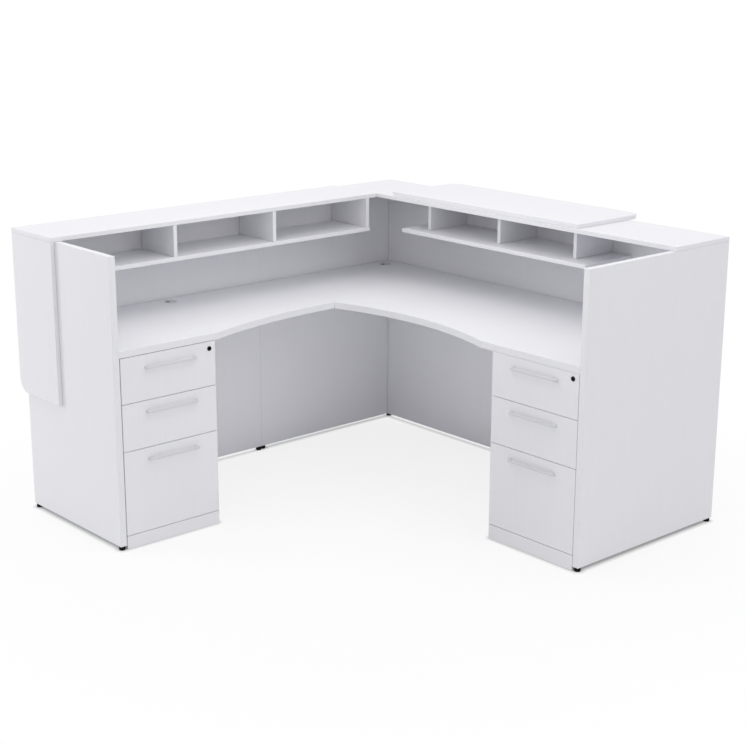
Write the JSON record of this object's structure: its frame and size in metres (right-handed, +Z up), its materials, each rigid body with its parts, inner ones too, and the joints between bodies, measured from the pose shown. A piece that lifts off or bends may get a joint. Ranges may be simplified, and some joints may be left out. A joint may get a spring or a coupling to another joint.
{
  "type": "reception desk",
  "caption": "L-shaped white laminate reception desk with a raised counter over open shelves, a leaning slab, bowed work surfaces and a drawer pedestal at each end.",
  "frame": {"origin": "centre of the desk's footprint box on the floor", "axes": "+Z up, +Y from the staff towards the visitors at the main unit, +X along the main unit towards its pedestal"},
  "size_m": [1.848, 1.9334, 1.108],
  "materials": {
    "laminate": "white melamine laminate on particle board with matching edge band",
    "drawer_box": "pale grey melamine",
    "zinc": "zinc plated",
    "handle": "satin silver",
    "lock": "black",
    "foot": "black moulded",
    "grommet": "pale grey moulded"
  },
  "bodies": {
    "desk": {"main_left_gable": "laminate", "main_right_gable": "laminate", "main_back_panel": "laminate", "main_worksurface": "laminate", "main_counter": "laminate", "raised_slab": "laminate", "main_shelf": "laminate", "main_divider_1": "laminate", "main_divider_2": "laminate", "main_divider_3": "laminate", "return_gable": "laminate", "return_back_panel": "laminate", "return_worksurface": "laminate", "return_counter": "laminate", "waterfall_panel": "laminate", "return_shelf": "laminate", "return_divider_1": "laminate", "return_divider_2": "laminate", "return_divider_3": "laminate", "main_grommet_ring": "grommet", "return_grommet_ring": "grommet", "main_pedestal_side_left": "laminate", "main_pedestal_side_right": "laminate", "main_pedestal_base": "laminate", "main_runner_left": "zinc", "main_runner_right": "zinc", "return_pedestal_side_left": "laminate", "return_pedestal_side_right": "laminate", "return_pedestal_base": "laminate", "return_runner_left": "zinc", "return_runner_right": "zinc"},
    "main_file_drawer": {"main_file_drawer_front": "laminate", "main_file_drawer_box": "drawer_box", "main_file_drawer_handle": "handle"},
    "main_middle_drawer": {"main_middle_drawer_front": "laminate", "main_middle_drawer_box": "drawer_box", "main_middle_drawer_handle": "handle"},
    "main_top_drawer": {"main_top_drawer_front": "laminate", "main_top_drawer_box": "drawer_box", "main_top_drawer_handle": "handle"},
    "return_file_drawer": {"return_file_drawer_front": "laminate", "return_file_drawer_box": "drawer_box", "return_file_drawer_handle": "handle"},
    "return_middle_drawer": {"return_middle_drawer_front": "laminate", "return_middle_drawer_box": "drawer_box", "return_middle_drawer_handle": "handle"},
    "return_top_drawer": {"return_top_drawer_front": "laminate", "return_top_drawer_box": "drawer_box", "return_top_drawer_handle": "handle"},
    "main_lock": {"main_lock": "lock"},
    "return_lock": {"return_lock": "lock"},
    "main_grommet_cap": {"main_grommet_cap": "grommet"},
    "return_grommet_cap": {"return_grommet_cap": "grommet"},
    "foot_main_left_back": {"foot_main_left_back": "foot"},
    "foot_main_left_front": {"foot_main_left_front": "foot"},
    "foot_main_right_back": {"foot_main_right_back": "foot"},
    "foot_main_right_front": {"foot_main_right_front": "foot"},
    "foot_return_gable_back": {"foot_return_gable_back": "foot"},
    "foot_return_gable_front": {"foot_return_gable_front": "foot"},
    "foot_return_back": {"foot_return_back": "foot"}
  },
  "joints": [
    {"name": "main_file_drawer_slide", "type": "slide", "parent": "desk", "child": "main_file_drawer", "axis": [0, -1, 0], "range_m": [0, 0.42]},
    {"name": "main_middle_drawer_slide", "type": "slide", "parent": "desk", "child": "main_middle_drawer", "axis": [0, -1, 0], "range_m": [0, 0.37]},
    {"name": "main_top_drawer_slide", "type": "slide", "parent": "desk", "child": "main_top_drawer", "axis": [0, -1, 0], "range_m": [0, 0.37]},
    {"name": "return_file_drawer_slide", "type": "slide", "parent": "desk", "child": "return_file_drawer", "axis": [1, 0, 0], "range_m": [0, 0.42]},
    {"name": "return_middle_drawer_slide", "type": "slide", "parent": "desk", "child": "return_middle_drawer", "axis": [1, 0, 0], "range_m": [0, 0.37]},
    {"name": "return_top_drawer_slide", "type": "slide", "parent": "desk", "child": "return_top_drawer", "axis": [1, 0, 0], "range_m": [0, 0.37]},
    {"name": "main_lock_turn", "type": "hinge", "parent": "main_top_drawer", "child": "main_lock", "pos_m": [0.8699, 0.13665, 0.69], "axis": [0, -1, 0], "range_deg": [0, 90]},
    {"name": "return_lock_turn", "type": "hinge", "parent": "return_top_drawer", "child": "return_lock", "pos_m": [-0.286, -0.54215, 0.6835], "axis": [1, 0, 0], "range_deg": [0, 90]},
    {"name": "main_grommet_cap_turn", "type": "hinge", "parent": "desk", "child": "main_grommet_cap", "pos_m": [-0.8036, 0.78465, 0.737], "axis": [0, 0, 1], "continuous": true},
    {"name": "return_grommet_cap_turn", "type": "hinge", "parent": "desk", "child": "return_grommet_cap", "pos_m": [-0.8116, -0.34995, 0.737], "axis": [0, 0, 1], "continuous": true},
    {"name": "foot_main_left_back_turn", "type": "hinge", "parent": "desk", "child": "foot_main_left_back", "pos_m": [-0.8843, 0.88565, 0.015], "axis": [0, 0, 1], "continuous": true},
    {"name": "foot_main_left_front_turn", "type": "hinge", "parent": "desk", "child": "foot_main_left_front", "pos_m": [-0.8843, 0.14965, 0.015], "axis": [0, 0, 1], "continuous": true},
    {"name": "foot_main_right_back_turn", "type": "hinge", "parent": "desk", "child": "foot_main_right_back", "pos_m": [0.9113, 0.88565, 0.015], "axis": [0, 0, 1], "continuous": true},
    {"name": "foot_main_right_front_turn", "type": "hinge", "parent": "desk", "child": "foot_main_right_front", "pos_m": [0.9113, 0.14965, 0.015], "axis": [0, 0, 1], "continuous": true},
    {"name": "foot_return_gable_back_turn", "type": "hinge", "parent": "desk", "child": "foot_return_gable_back", "pos_m": [-0.884, -0.93765, 0.015], "axis": [0, 0, 1], "continuous": true},
    {"name": "foot_return_gable_front_turn", "type": "hinge", "parent": "desk", "child": "foot_return_gable_front", "pos_m": [-0.299, -0.93765, 0.015], "axis": [0, 0, 1], "continuous": true},
    {"name": "foot_return_back_turn", "type": "hinge", "parent": "desk", "child": "foot_return_back", "pos_m": [-0.8796, 0.12335, 0.015], "axis": [0, 0, 1], "continuous": true}
  ]
}
